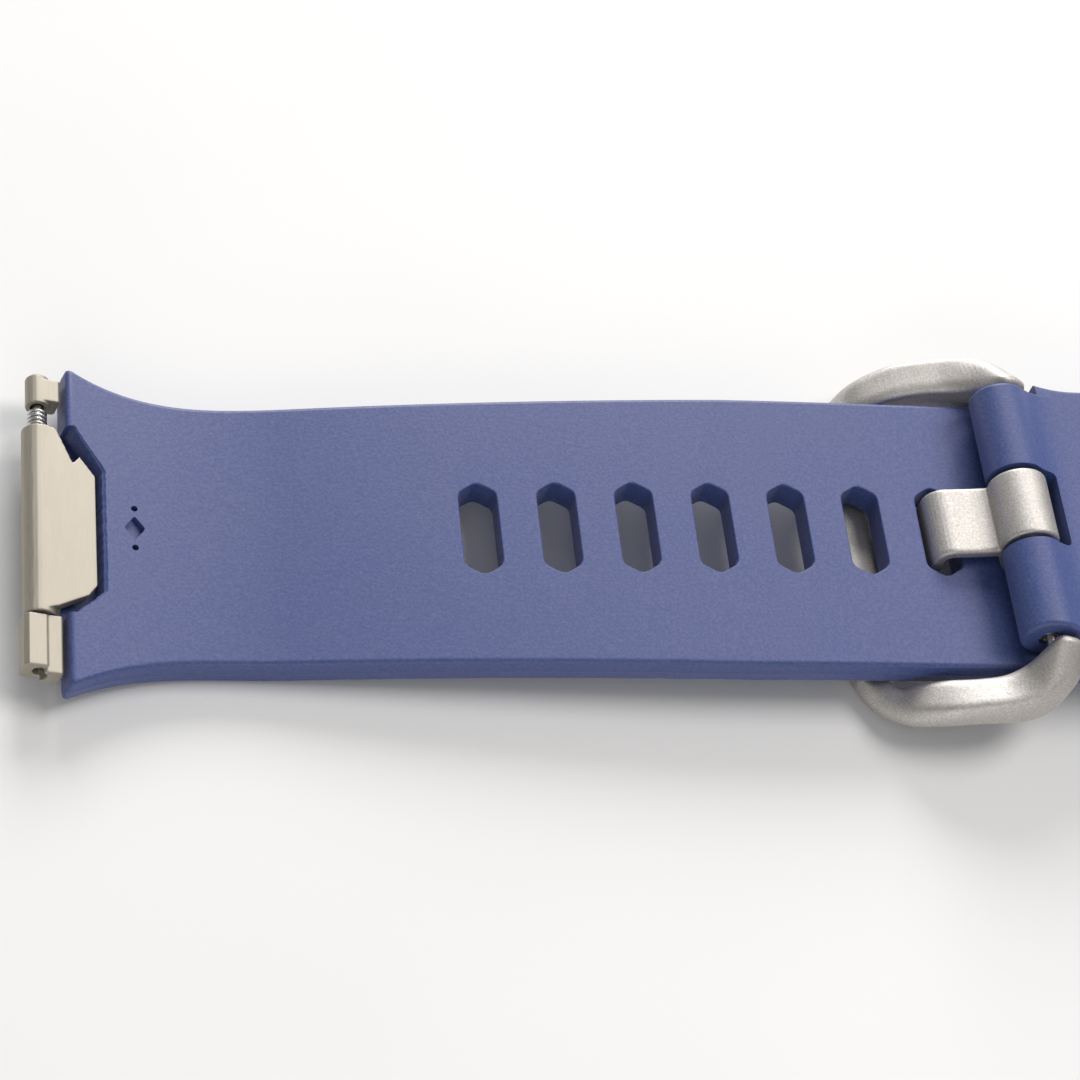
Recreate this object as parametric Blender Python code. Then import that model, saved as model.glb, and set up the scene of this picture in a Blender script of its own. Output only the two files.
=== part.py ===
"""Two-piece rubber sports watch band, buckled and lying on its outer side.

Lengths are millimetres while shapes are worked out; meshes are written in metres.
X runs along the band, Y across it, Z up.  The wrist side of the rubber faces up.
"""
from math import cos, pi, radians, sin

import bmesh
import bpy
from mathutils import Matrix, Vector

# ---- driving dimensions, mm and degrees ------------------------------------------------
GAP = 0.3                    # running clearance between neighbouring pieces
ROUND = 20                   # sides of a turned piece

# hole strap, measured along its wrist-side face from the watch end
STRAP_THICK = 2.5
HALF_WIDTH_AT_WATCH = 10.4   # without the flare
WIDENING = 0.022             # half width gained per mm towards the tail
FULL_WIDTH_FROM = 48.0       # no wider from here on
FLARE = 2.75                 # extra half width at the watch end
FLARE_LENGTH = 13.0
FLARE_POWER = 3.0
END_CURL_LENGTH = 15.5
END_CURL = 19.33             # how far the watch end curls towards the wrist
ARCH_LENGTH = 42.5
ARCH = 6.2                   # the strap rises to the buckle, then runs level
HOLE_STRAP_LENGTH = 80.0
TAIL_ROUND = 8.0
HOLE_COUNT = 8
FIRST_HOLE = 29.1
HOLE_PITCH = 5.7
HOLE_SIZE = (2.75, 7.75)     # along, across
HOLE_POINT = 0.85            # height of the pointed ends of a hole
BUCKLED_HOLE = 7

# pin and buckle strap
PIN_FROM_HOLE = 5.7          # pin axis beyond the buckled hole
PIN_HEIGHT = 2.45            # pin axis over the hole strap's wrist face
KNUCKLE_RADIUS = 2.15
KNUCKLE_HALF = 10.5
KNUCKLE_BORE = 1.0
TANG_NOTCH_HALF = 3.2
TANG_NOTCH_DEPTH = 2.9
BUCKLE_STRAP_THICK = 2.8
BUCKLE_STRAP_HALF = 11.0
SHOULDER = 3.0               # where the full width starts, from the pin
SHOULDER_FLARE = (0.5, 3.0)  # extra half width at the shoulder, and its length
LEVEL_LENGTH = 34.0
DROOP_LENGTH = 36.0

# keepers
KEEPER_WIDTH = 6.0
KEEPER_WALL = 1.3
KEEPER_ROOM = 6.2            # inner height, for two straps
FIXED_KEEPER = 14.6          # near edge, from the pin
SLIDING_KEEPER = 24.0

# buckle frame
BAR_FRONT = -13.0
BAR_REAR = -9.4
BAR_HALF = 10.4
STRAP_CLEAR = 11.8           # the arms keep outside this beside the hole strap
TIP_NOTCH_HALF = 3.2
TIP_NOTCH_DEPTH = 1.25
EAR_BORE = 0.55
EAR_BORE_END = 12.2

# tang
TANG_HALF = 2.8
HOOD_RADIUS = 2.2
BLADE_THICK = 1.0
TIP_THICK = 0.75

# spring bar
BAR_TUBE_RADIUS = 0.8
BAR_TUBE_INNER = 0.56
BAR_TUBE_HALF = 10.4
PLUNGER_BODY = (0.44, 6.9, 9.6)   # radius, inner end, shoulder
PLUNGER_TIP = (0.34, 11.9)        # radius, outer end
PLUNGER_TRAVEL = 1.4
SPRING_WIRE = 0.1
BAR_SPRING_TURNS = 14

# connector, in its own frame: x into the rubber from the end face, z up from its wrist face
AXLE = (-1.75, -1.25)
AXLE_RADIUS = 0.38
AXLE_ENDS = (-11.2, 12.1)
BARREL_RADIUS = 1.15
BARREL_ENDS = (-7.4, 7.8)
BORE_RADIUS = 0.5
LATCH_SPRING = (8.05, 9.65)  # ends of the coil
LATCH_COIL = (0.6, 0.12)     # radius and wire radius
FAR_BLOCK = (9.9, 12.4)
FAR_BLOCK_RADIUS = 0.85
NEAR_BLOCK = (-11.6, -7.6)
BUTTON_TOP = -0.12
BUTTON_THICK = 0.8
POCKET_FLOOR = -2.0
PLATE = (-1.8, -1.4)         # bottom and top of the moulded-in plate
PLATE_REACH = (3.3, 6.0)
PLATE_HALF = 10.0
PLATE_TAB = 8.6


# ---- the line that each strap follows ----------------------------------------------------
class Line:
    """Straight runs and arcs in the XZ plane; each step is (length, turn in degrees)."""

    def __init__(self, x, z, angle, steps):
        self.parts = []
        for length, turn in steps:
            self.parts.append((x, z, angle, length, radians(turn)))
            x, z, angle = self.advance(x, z, angle, length, radians(turn), length)
        self.length = sum(step[0] for step in steps)

    @staticmethod
    def advance(x, z, angle, length, turn, distance):
        if abs(turn) < 1e-9:
            return x + distance * cos(angle), z + distance * sin(angle), angle
        radius = length / turn
        end = angle + distance / radius
        return x + radius * (sin(end) - sin(angle)), z - radius * (cos(end) - cos(angle)), end

    def at(self, distance):
        for x, z, angle, length, turn in self.parts:
            if distance <= length:
                break
            distance -= length
        else:
            distance += length
        if distance < 0:
            turn = 0.0
        return self.advance(x, z, angle, length, turn, distance)

    def point(self, distance, y, height):
        """A point at a distance along the line, y across it and a height above it."""
        x, z, angle = self.at(distance)
        return Vector((x - height * sin(angle), y, z + height * cos(angle)))


def drop(angle):
    """Fall of the buckle strap over its droop and the start of its end curl."""
    curl_radius = END_CURL_LENGTH / radians(END_CURL)
    return (DROOP_LENGTH / angle + curl_radius) * (1 - cos(angle))


def droop_angle(fall):
    """The droop in degrees that brings the buckle strap down by a given fall."""
    low, high = 0.01, 0.6
    for _ in range(50):
        middle = (low + high) / 2
        if drop(middle) < fall:
            low = middle
        else:
            high = middle
    return low * 180 / pi


start_angle = radians(ARCH - END_CURL)
curl_radius = END_CURL_LENGTH / radians(END_CURL)
HOLE_LINE = Line(0.0, STRAP_THICK + curl_radius * (1 - cos(start_angle)), start_angle,
                 [(END_CURL_LENGTH, END_CURL), (ARCH_LENGTH, -ARCH),
                  (HOLE_STRAP_LENGTH - END_CURL_LENGTH - ARCH_LENGTH, 0.0)])
BUCKLED_AT = FIRST_HOLE + (BUCKLED_HOLE - 1) * HOLE_PITCH
PIN_AT = BUCKLED_AT + PIN_FROM_HOLE
pin_x, WRIST_FACE, _ = HOLE_LINE.at(PIN_AT)
PIN = Vector((pin_x, 0.0, WRIST_FACE + PIN_HEIGHT))
BUCKLE_FACE = WRIST_FACE + GAP + BUCKLE_STRAP_THICK
DROOP = droop_angle(BUCKLE_FACE - BUCKLE_STRAP_THICK)
BUCKLE_LINE = Line(pin_x, BUCKLE_FACE, 0.0,
                   [(LEVEL_LENGTH, 0.0), (DROOP_LENGTH, -DROOP), (END_CURL_LENGTH, END_CURL)])
BAR_TOP = WRIST_FACE - STRAP_THICK - GAP


# ---- making objects ----------------------------------------------------------------------
def material(name, colour, roughness, metallic=0.0):
    made = bpy.data.materials.new(name)
    made.use_nodes = True
    shader = made.node_tree.nodes["Principled BSDF"]
    shader.inputs["Base Color"].default_value = (*colour, 1.0)
    shader.inputs["Roughness"].default_value = roughness
    shader.inputs["Metallic"].default_value = metallic
    return made


def solid(name, rings, look=None, origin=(0.0, 0.0, 0.0), closed=False):
    """A closed body through rings of points; its ends are capped unless it closes on itself."""
    origin = Vector(origin)
    mesh = bmesh.new()
    rows = [[mesh.verts.new((Vector(p) - origin) * 0.001) for p in ring] for ring in rings]
    pairs = list(zip(rows, rows[1:] + rows[:1])) if closed else list(zip(rows, rows[1:]))
    for first, second in pairs:
        for i in range(len(first)):
            j = (i + 1) % len(first)
            mesh.faces.new((first[i], first[j], second[j], second[i]))
    if not closed:
        mesh.faces.new(rows[0])
        mesh.faces.new(rows[-1])
    bmesh.ops.recalc_face_normals(mesh, faces=mesh.faces)
    data = bpy.data.meshes.new(name)
    mesh.to_mesh(data)
    mesh.free()
    made = bpy.data.objects.new(name, data)
    made.location = origin * 0.001
    bpy.context.scene.collection.objects.link(made)
    data.shade_smooth()
    data.set_sharp_from_angle(angle=radians(35))
    if look:
        data.materials.append(look)
    return made


def prism(name, outline, low, high, look=None, origin=(0.0, 0.0, 0.0)):
    """An XZ outline carried across from one y to another."""
    return solid(name, [[(x, y, z) for x, z in outline] for y in (low, high)], look, origin)


def rod(name, centre, profile, look=None, origin=(0.0, 0.0, 0.0), sides=ROUND):
    """A turned piece along Y; the profile lists (y, radius)."""
    rings = [[(centre[0] + r * cos(2 * pi * i / sides), y, centre[1] + r * sin(2 * pi * i / sides))
              for i in range(sides)] for y, r in profile]
    return solid(name, rings, look, origin)


def coil(name, centre, radius, wire, ends, turns, look, origin=(0.0, 0.0, 0.0)):
    """A helical spring round an axis along Y."""
    steps = 12 * turns
    rings = []
    for k in range(steps + 1):
        angle = 2 * pi * k / 12
        y = ends[0] + wire + (ends[1] - ends[0] - 2 * wire) * k / steps
        out = Vector((cos(angle), 0.0, sin(angle)))
        middle = Vector((centre[0], y, centre[1])) + out * radius
        rings.append([middle + out * (wire * cos(a)) + Vector((0, wire * sin(a), 0))
                      for a in (pi / 3 * i for i in range(6))])
    return solid(name, rings, look, origin)


def combine(body, tool, operation):
    """Cut or add a hidden tool body with a Boolean modifier."""
    tool.hide_render = True
    tool.display_type = "WIRE"
    step = body.modifiers.new(tool.name, "BOOLEAN")
    step.operation = operation
    step.object = tool


def place(objects, matrix):
    """Move bodies built in a connector's own frame to the end of a strap."""
    for item in objects:
        shift = Matrix.Translation(matrix.translation * 0.001) @ matrix.to_3x3().to_4x4()
        item.matrix_world = shift @ Matrix.Translation(item.location)


def chamfered(low, high, bottom, top, cut):
    """A rectangle with cut corners, as an outline in two coordinates."""
    return [(low + cut, bottom), (high - cut, bottom), (high, bottom + cut), (high, top - cut),
            (high - cut, top), (low + cut, top), (low, top - cut), (low, bottom + cut)]


# ---- straps ------------------------------------------------------------------------------
def flare(distance):
    """Extra half width near a watch end."""
    rest = max(0.0, 1 - distance / FLARE_LENGTH)
    return FLARE * rest ** FLARE_POWER


def hole_strap_half(distance):
    half = HALF_WIDTH_AT_WATCH + WIDENING * min(distance, FULL_WIDTH_FROM) + flare(distance)
    past = distance - (HOLE_STRAP_LENGTH - TAIL_ROUND)
    if past > 0:
        half *= max(0.35, (1 - (past / (TAIL_ROUND * 1.06)) ** 2) ** 0.5)
    return half


def strap_rings(line, thick, half_at, stations, edge=0.45):
    rings = []
    for s in stations:
        outline = chamfered(-half_at(s), half_at(s), -thick, 0.0, edge)
        rings.append([line.point(s, y, height) for y, height in outline])
    return rings


def spaced(start, end, count):
    return [start + (end - start) * i / count for i in range(count + 1)]


def hole_cutter(number, line):
    """An elongated hexagon through the strap."""
    along, across = HOLE_SIZE[0] / 2, HOLE_SIZE[1] / 2
    shoulder = across - HOLE_POINT
    outline = [(-along, -shoulder), (0, -across), (along, -shoulder),
               (along, shoulder), (0, across), (-along, shoulder)]
    s = FIRST_HOLE + (number - 1) * HOLE_PITCH
    x, z, angle = line.at(s)
    rings = [[(x + u * cos(angle) - h * sin(angle), y, z + u * sin(angle) + h * cos(angle))
              for u, y in outline] for h in (-STRAP_THICK - 1, 1)]
    return solid(f"cut_hole_{number}", rings)


def make_hole_strap(rubber):
    stations = (spaced(0, 14, 12) + spaced(18, 58, 6)
                + spaced(60, 70, 2) + spaced(72, HOLE_STRAP_LENGTH, 8))
    rings = strap_rings(HOLE_LINE, STRAP_THICK, hole_strap_half, stations)
    strap = solid("hole_strap", rings, rubber)
    for number in range(1, HOLE_COUNT + 1):
        combine(strap, hole_cutter(number, HOLE_LINE), "DIFFERENCE")
    return strap


def make_buckle_strap(rubber):
    def half_at(s):
        extra, length = SHOULDER_FLARE
        shoulder = extra * max(0.0, 1 - (s - SHOULDER) / length) ** 2
        return BUCKLE_STRAP_HALF + shoulder + flare(BUCKLE_LINE.length - s)

    end = BUCKLE_LINE.length
    stations = (spaced(SHOULDER, 6, 3) + [12, 24] + spaced(LEVEL_LENGTH, end - 18, 5)
                + spaced(end - 14, end, 12))
    rings = strap_rings(BUCKLE_LINE, BUCKLE_STRAP_THICK, half_at, stations)
    # local points are taken from the pin, on which the strap swings
    strap = solid("buckle_strap", rings, rubber, PIN)
    knuckle = rod("add_knuckle", (PIN.x, PIN.z),
                  [(-KNUCKLE_HALF, KNUCKLE_RADIUS), (KNUCKLE_HALF, KNUCKLE_RADIUS)], sides=32)
    neck = prism("add_neck",
                 [(PIN.x, PIN.z - KNUCKLE_RADIUS), (PIN.x + SHOULDER + 1, WRIST_FACE + GAP + 0.1),
                  (PIN.x + SHOULDER + 1, BUCKLE_FACE - 0.1), (PIN.x + 0.9, PIN.z + 1.7)],
                 -KNUCKLE_HALF + 0.1, KNUCKLE_HALF - 0.1)
    combine(strap, neck, "UNION")
    combine(strap, knuckle, "UNION")
    notch = prism("cut_notch",
                  [(PIN.x - 4, PIN.z - 5), (PIN.x + TANG_NOTCH_DEPTH, PIN.z - 5),
                   (PIN.x + TANG_NOTCH_DEPTH, PIN.z + 5), (PIN.x - 4, PIN.z + 5)],
                  -TANG_NOTCH_HALF, TANG_NOTCH_HALF)
    combine(strap, notch, "DIFFERENCE")
    bore = rod("cut_bore", (PIN.x, PIN.z), [(-12, KNUCKLE_BORE), (12, KNUCKLE_BORE)])
    combine(strap, bore, "DIFFERENCE")
    return strap


def make_keeper(name, near_edge, rubber):
    """A rubber loop round the buckle strap, with room below for the tail."""
    top = BUCKLE_FACE + GAP
    half = BUCKLE_STRAP_HALF + GAP
    origin = Vector((PIN.x + near_edge + KEEPER_WIDTH / 2, 0, top - KEEPER_ROOM / 2))
    inner = chamfered(-half, half, top - KEEPER_ROOM, top, 0.4)
    outer = chamfered(-half - KEEPER_WALL, half + KEEPER_WALL,
                      top - KEEPER_ROOM - KEEPER_WALL, top + KEEPER_WALL, 1.1)
    x0 = PIN.x + near_edge
    x1 = x0 + KEEPER_WIDTH
    rings = [[(x, y, z) for y, z in outline]
             for x, outline in ((x0, inner), (x0, outer), (x1, outer), (x1, inner))]
    return solid(name, rings, rubber, origin, closed=True)


# ---- buckle --------------------------------------------------------------------------------
def arm_rings(side):
    """Sections of one arm of the frame, from the bar up to the ear round the pin."""
    # distance from the pin, inner and outer y, underside, shoulder of the outer side,
    # outer crest (y, z) and height of the inner edge
    rows = [(-12.8, 9.0, 10.9, 0.1, 1.2, (10.4, 2.1), 2.1),
            (-12.2, 9.0, 12.1, 0.1, 1.3, (11.5, 2.2), 2.2),
            (-11.3, 9.8, 13.3, 0.3, 1.7, (12.6, 2.45), 2.3),
            (-10.2, 11.7, 14.3, 0.8, 2.5, (13.7, 3.1), 2.9),
            (-9.0, 11.9, 14.9, 1.4, 3.2, (14.4, 4.0), 3.9),
            (-7.0, 12.2, 15.3, 2.3, 4.3, (14.9, 5.1), 4.9),
            (-5.0, 12.4, 15.4, 2.8, 4.9, (15.0, 5.8), 5.5),
            (-3.0, 12.3, 15.4, 3.0, 5.3, (15.0, 6.3), 6.0),
            (-1.4, 11.8, 15.2, 3.0, 5.5, (14.8, 6.8), 7.1),
            (0.0, 10.9, 14.7, 2.9, 5.5, (14.1, 7.3), 9.0),
            (1.2, 10.9, 14.0, 3.3, 5.8, (13.3, 7.3), 9.0),
            (2.2, 10.9, 13.0, 4.4, 6.3, (12.4, 6.9), 8.3)]
    rings = []
    for u, inner, outer, bottom, shoulder, crest, top in rows:
        clear = max(inner, STRAP_CLEAR) if top > WRIST_FACE else inner
        ledge = min(WRIST_FACE + GAP, (bottom + top) / 2)
        outline = [(clear, bottom), (outer - 0.8, bottom), (outer, bottom + 0.7),
                   (outer, shoulder), crest, (inner + 0.5, top), (inner, top - 0.4),
                   (inner, ledge + 0.12), (clear, ledge)]
        rings.append([(PIN.x + u, side * y, z) for y, z in outline])
    return rings


def make_buckle_frame(metal):
    bar = prism("buckle_frame",
                [(PIN.x + u, z) for u, z in chamfered(BAR_FRONT, BAR_REAR, 0.0, BAR_TOP, 0.55)],
                -BAR_HALF, BAR_HALF, metal, PIN)
    for name, side in (("far", 1), ("near", -1)):
        combine(bar, solid(f"add_arm_{name}", arm_rings(side)), "UNION")
        bore = rod(f"cut_ear_{name}", (PIN.x, PIN.z),
                   [(side * 9.0, EAR_BORE), (side * EAR_BORE_END, EAR_BORE)])
        combine(bar, bore, "DIFFERENCE")
    notch = prism("cut_tip_notch",
                  [(PIN.x + BAR_FRONT + 0.5, -1.0), (PIN.x + BAR_REAR + 1, -1.0),
                   (PIN.x + BAR_REAR + 1, TIP_NOTCH_DEPTH + 0.35),
                   (PIN.x + BAR_REAR - 0.6, TIP_NOTCH_DEPTH),
                   (PIN.x + BAR_FRONT + 0.5, TIP_NOTCH_DEPTH)],
                  -TIP_NOTCH_HALF, TIP_NOTCH_HALF)
    combine(bar, notch, "DIFFERENCE")
    return bar


def blade_path():
    """Middle line of the tang's blade from the hood, through the hole, to its tip."""
    left = PIN.x - PIN_FROM_HOLE - HOLE_SIZE[0] / 2
    inner, outer = WRIST_FACE, WRIST_FACE - STRAP_THICK
    points = [(PIN.x - 1.2, inner + 1.5), (PIN.x - 3.3, inner + 1.25)]
    points += [(left + 2 + 1.1 * cos(radians(a)), inner + 1.1 * sin(radians(a)))
               for a in (80, 115, 150, 180)]
    points += [(left + cos(radians(a)), outer + sin(radians(a))) for a in (0, -30, -60, -90)]
    points += [(PIN.x + BAR_REAR + 0.3, 0.62), (PIN.x + BAR_FRONT + 0.9, 0.5)]
    return points


def make_tang(metal):
    path = [Vector(p) for p in blade_path()]
    left, right = [], []
    for i, point in enumerate(path):
        ahead = (path[min(i + 1, len(path) - 1)] - path[max(i - 1, 0)]).normalized()
        across = Vector((-ahead.y, ahead.x))
        thick = TIP_THICK if i >= len(path) - 2 else BLADE_THICK
        left.append(tuple(point + across * thick / 2))
        right.append(tuple(point - across * thick / 2))
    tang = prism("buckle_tang", left + right[::-1], -TANG_HALF, TANG_HALF, metal, PIN)
    hood = rod("add_hood", (PIN.x, PIN.z), [(-TANG_HALF, HOOD_RADIUS), (TANG_HALF, HOOD_RADIUS)],
               sides=32)
    combine(tang, hood, "UNION")
    bore = rod("cut_hood", (PIN.x, PIN.z), [(-4, KNUCKLE_BORE), (4, KNUCKLE_BORE)])
    combine(tang, bore, "DIFFERENCE")
    return tang


def make_spring_bar(steel):
    axis = (PIN.x, PIN.z)
    tube = [(-BAR_TUBE_HALF, BAR_TUBE_INNER), (-BAR_TUBE_HALF, BAR_TUBE_RADIUS),
            (BAR_TUBE_HALF, BAR_TUBE_RADIUS), (BAR_TUBE_HALF, BAR_TUBE_INNER)]
    rings = [[(axis[0] + r * cos(2 * pi * i / ROUND), y, axis[1] + r * sin(2 * pi * i / ROUND))
              for i in range(ROUND)] for y, r in tube]
    solid("spring_bar_tube", rings, steel, PIN, closed=True)
    body, inner_end, step = PLUNGER_BODY
    tip, outer_end = PLUNGER_TIP
    for name, side in (("far", 1), ("near", -1)):
        profile = [(inner_end, body), (step, body), (step + 0.1, tip),
                   (outer_end - 0.15, tip), (outer_end, tip * 0.6)]
        rod(f"spring_bar_plunger_{name}", axis, [(side * y, r) for y, r in profile], steel, PIN, 16)
    # the spring has its pressed-in length, so that both plungers can slide fully home
    reach = inner_end - PLUNGER_TRAVEL - 0.1
    coil("spring_bar_spring", axis, 0.3, SPRING_WIRE, (-reach, reach), BAR_SPRING_TURNS, steel, PIN)


# ---- connectors ----------------------------------------------------------------------------
def flat_slab(name, outline, bottom, top, look=None, origin=(0.0, 0.0, 0.0)):
    """An XY outline between two heights."""
    return solid(name, [[(x, y, z) for x, y in outline] for z in (bottom, top)], look, origin)


def pocket_outline():
    return [(-3.0, -7.3), (0.4, -7.3), (2.45, -5.4), (2.45, 4.6), (0.4, 8.0), (-3.0, 8.0)]


def plate_outline(grow):
    """The moulded-in plate: a cross bar with a tab towards each end block."""
    start = -1.0 if grow else 0.2
    near, far = PLATE_REACH[0] - grow, PLATE_REACH[1] + grow
    half, tab = PLATE_HALF + grow, PLATE_TAB - grow
    return [(start, -half), (far, -half), (far, half), (start, half), (start, tab),
            (near, tab), (near, -tab), (start, -tab)]


def make_connector(tag, strap, matrix, metal, steel):
    axle_point = Vector((AXLE[0], 0.0, AXLE[1]))
    pocket = flat_slab(f"cut_pocket_{tag}", pocket_outline(), POCKET_FLOOR, 2.0)
    slot = flat_slab(f"cut_slot_{tag}", plate_outline(GAP), PLATE[0] - 0.15, PLATE[1] + 0.15)
    plate = flat_slab(f"insert_plate_{tag}", plate_outline(0.0), PLATE[0], PLATE[1], metal)
    axle = rod(f"latch_axle_{tag}", AXLE, [(AXLE_ENDS[0], AXLE_RADIUS), (AXLE_ENDS[1], AXLE_RADIUS)],
               steel, axle_point, 16)
    spring = coil(f"latch_spring_{tag}", AXLE, *LATCH_COIL, LATCH_SPRING, 4, steel, axle_point)

    button = [(-1.75, -7.2), (-0.7, -6.9), (1.45, -5.75), (2.05, -4.9), (2.05, 4.0),
              (0.95, 5.5), (0.45, 4.9), (-0.75, 7.6), (-1.75, 7.8)]
    lever = flat_slab(f"latch_lever_{tag}", button, BUTTON_TOP - BUTTON_THICK, BUTTON_TOP,
                      metal, axle_point)
    barrel = rod(f"add_barrel_{tag}", AXLE, [(BARREL_ENDS[0], BARREL_RADIUS),
                                             (BARREL_ENDS[1], BARREL_RADIUS)])
    bore = rod(f"cut_barrel_{tag}", AXLE, [(-15, BORE_RADIUS), (15, BORE_RADIUS)])
    combine(lever, barrel, "UNION")
    combine(lever, bore, "DIFFERENCE")

    far = rod(f"end_block_far_{tag}", AXLE,
              [(FAR_BLOCK[0], FAR_BLOCK_RADIUS), (FAR_BLOCK[1] - 0.2, FAR_BLOCK_RADIUS),
               (FAR_BLOCK[1], FAR_BLOCK_RADIUS - 0.2)], metal)
    far_flange = prism(f"add_far_flange_{tag}", chamfered(-1.75, -GAP, -2.1, -0.4, 0.15),
                       FAR_BLOCK[0] + 0.2, FAR_BLOCK[1] - 0.5)
    near = prism(f"end_block_near_{tag}", chamfered(-3.0, -1.2, -2.2, -0.3, 0.3),
                 NEAR_BLOCK[0], NEAR_BLOCK[1], metal)
    near_flange = prism(f"add_near_flange_{tag}", chamfered(-1.6, -GAP, -2.05, -0.45, 0.15),
                        NEAR_BLOCK[0] - 0.4, NEAR_BLOCK[1] + 0.05)
    bore_far = rod(f"cut_far_{tag}", AXLE, [(9, BORE_RADIUS), (FAR_BLOCK[1] + 1, BORE_RADIUS)])
    bore_near = rod(f"cut_near_{tag}", AXLE, [(NEAR_BLOCK[0] - 1, BORE_RADIUS), (-7, BORE_RADIUS)])
    combine(far, far_flange, "UNION")
    combine(far, bore_far, "DIFFERENCE")
    combine(near, near_flange, "UNION")
    combine(near, bore_near, "DIFFERENCE")
    place([pocket, slot, plate, axle, spring, lever, barrel, bore, far, far_flange, near,
           near_flange, bore_far, bore_near], matrix)
    combine(strap, pocket, "DIFFERENCE")
    combine(strap, slot, "DIFFERENCE")


def end_matrix(line, distance, outward):
    """Frame of a connector: x points into the rubber, z out of its wrist face."""
    x, z, angle = line.at(distance)
    into = Vector((-cos(angle), 0, -sin(angle))) * outward
    up = Vector((-sin(angle), 0, cos(angle)))
    across = up.cross(into)
    turn = Matrix((into, across, up)).transposed().to_4x4()
    turn.translation = (x, 0, z)
    return turn


# ---- the whole band --------------------------------------------------------------------------
def centre_on_ground():
    """Put the middle of the lowest level of the band's box at the origin."""
    bpy.context.view_layer.update()
    graph = bpy.context.evaluated_depsgraph_get()
    shown = [item for item in bpy.context.scene.objects if not item.hide_render]
    corners = []
    for item in shown:
        real = item.evaluated_get(graph)
        corners += [real.matrix_world @ v.co for v in real.data.vertices]
    low = Vector([min(c[i] for c in corners) for i in range(3)])
    high = Vector([max(c[i] for c in corners) for i in range(3)])
    shift = Vector((-(low.x + high.x) / 2, -(low.y + high.y) / 2, -low.z))
    for item in bpy.context.scene.objects:
        item.location += shift


def main():
    for item in list(bpy.data.objects):
        bpy.data.objects.remove(item, do_unlink=True)
    rubber = material("blue_rubber", (0.085, 0.115, 0.31), 0.62)
    trim_rubber = material("keeper_rubber", (0.085, 0.115, 0.31), 0.6)
    cast = material("blasted_buckle_metal", (0.62, 0.59, 0.53), 0.42, 1.0)
    satin = material("satin_latch_metal", (0.66, 0.62, 0.53), 0.38, 1.0)
    steel = material("bright_steel", (0.6, 0.59, 0.57), 0.25, 1.0)
    hole_strap = make_hole_strap(rubber)
    buckle_strap = make_buckle_strap(rubber)
    make_keeper("fixed_keeper", FIXED_KEEPER, trim_rubber)
    make_keeper("sliding_keeper", SLIDING_KEEPER, trim_rubber)
    make_buckle_frame(cast)
    make_tang(cast)
    make_spring_bar(steel)
    make_connector("a", hole_strap, end_matrix(HOLE_LINE, 0.0, -1), satin, steel)
    make_connector("b", buckle_strap, end_matrix(BUCKLE_LINE, BUCKLE_LINE.length, 1), satin, steel)
    centre_on_ground()


main()
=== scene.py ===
"""Looks of the two-piece rubber watch band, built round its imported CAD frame.

Shapes are worked out in millimetres in the band's own frame, where X runs from the hole
strap's watch end, Y across and Z up, and are written in metres in the frame of the CAD part.
"""
from math import cos, degrees, radians, sin, sqrt

import bmesh
import bpy
from mathutils import Matrix, Vector, noise


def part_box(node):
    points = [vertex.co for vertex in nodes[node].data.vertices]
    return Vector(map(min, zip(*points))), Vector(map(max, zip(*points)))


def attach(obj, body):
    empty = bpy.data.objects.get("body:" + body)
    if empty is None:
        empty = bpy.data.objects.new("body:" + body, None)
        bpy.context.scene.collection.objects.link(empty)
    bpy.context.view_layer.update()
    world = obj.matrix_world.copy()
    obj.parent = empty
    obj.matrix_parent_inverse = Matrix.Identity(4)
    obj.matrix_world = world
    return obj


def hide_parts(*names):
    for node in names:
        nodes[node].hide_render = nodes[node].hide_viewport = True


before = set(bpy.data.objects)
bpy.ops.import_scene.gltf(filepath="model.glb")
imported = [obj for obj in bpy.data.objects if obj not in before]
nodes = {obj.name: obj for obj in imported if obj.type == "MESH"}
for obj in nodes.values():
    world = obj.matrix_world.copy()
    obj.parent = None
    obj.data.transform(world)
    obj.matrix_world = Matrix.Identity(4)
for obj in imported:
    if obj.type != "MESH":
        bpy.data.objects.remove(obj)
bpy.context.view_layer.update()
MM = 0.001

# ---- driving dimensions, mm and degrees ---------------------------------------------------
GAP = 0.3
STRAP_THICK = 2.5
END_CURL_LENGTH = 15.5
END_CURL = 19.33
CURL_RADIUS = END_CURL_LENGTH / radians(END_CURL)
ARCH_LENGTH = 42.5
ARCH = 6.2
HOLE_STRAP_LENGTH = 80.0
HALF_WIDTH_AT_WATCH = 10.4
WIDENING = 0.022
FULL_WIDTH_FROM = 48.0
FLARE = 2.75
FLARE_LENGTH = 13.0
FLARE_POWER = 3.0
TAIL_ROUND = 8.0
HOLE_COUNT = 8
FIRST_HOLE = 29.1
HOLE_PITCH = 5.7
HOLE_SIZE = (2.75, 7.75)
HOLE_POINT = 0.85
HOLE_CORNER = 0.45
PIN_AT = 69.0                 # pin axis along the hole strap
PIN_HEIGHT = 2.45
KNUCKLE_RADIUS = 2.15
KNUCKLE_HALF = 10.5
KNUCKLE_LEAVES = 52            # angle at which the strap leaves the roll
KNUCKLE_BLEND = (3.1, 4.8)     # where the roll runs out into the strap, from the pin
KNUCKLE_SINK = 0.01
NOTCH_HALF = 3.2
NOTCH_DEPTH = 2.9
BUCKLE_STRAP_THICK = 2.8
BUCKLE_STRAP_HALF = 11.0
SHOULDER = 3.0
SHOULDER_FLARE = (0.5, 3.0)
LEVEL_LENGTH = 34.0
DROOP_LENGTH = 36.0
EDGE_ROUND = 0.42              # the straps' long edges
SEAM = 0.035                   # moulding line on each flank
KEEPER_WALL = 1.3
KEEPER_CORNER = 1.3
KEEPER_EDGE = 0.55
BAR_FRONT = -13.0              # the frame's front bar, from the pin
BAR_REAR = -9.4
BAR_HALF = 10.4
BAR_ROUND = 0.9
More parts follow.
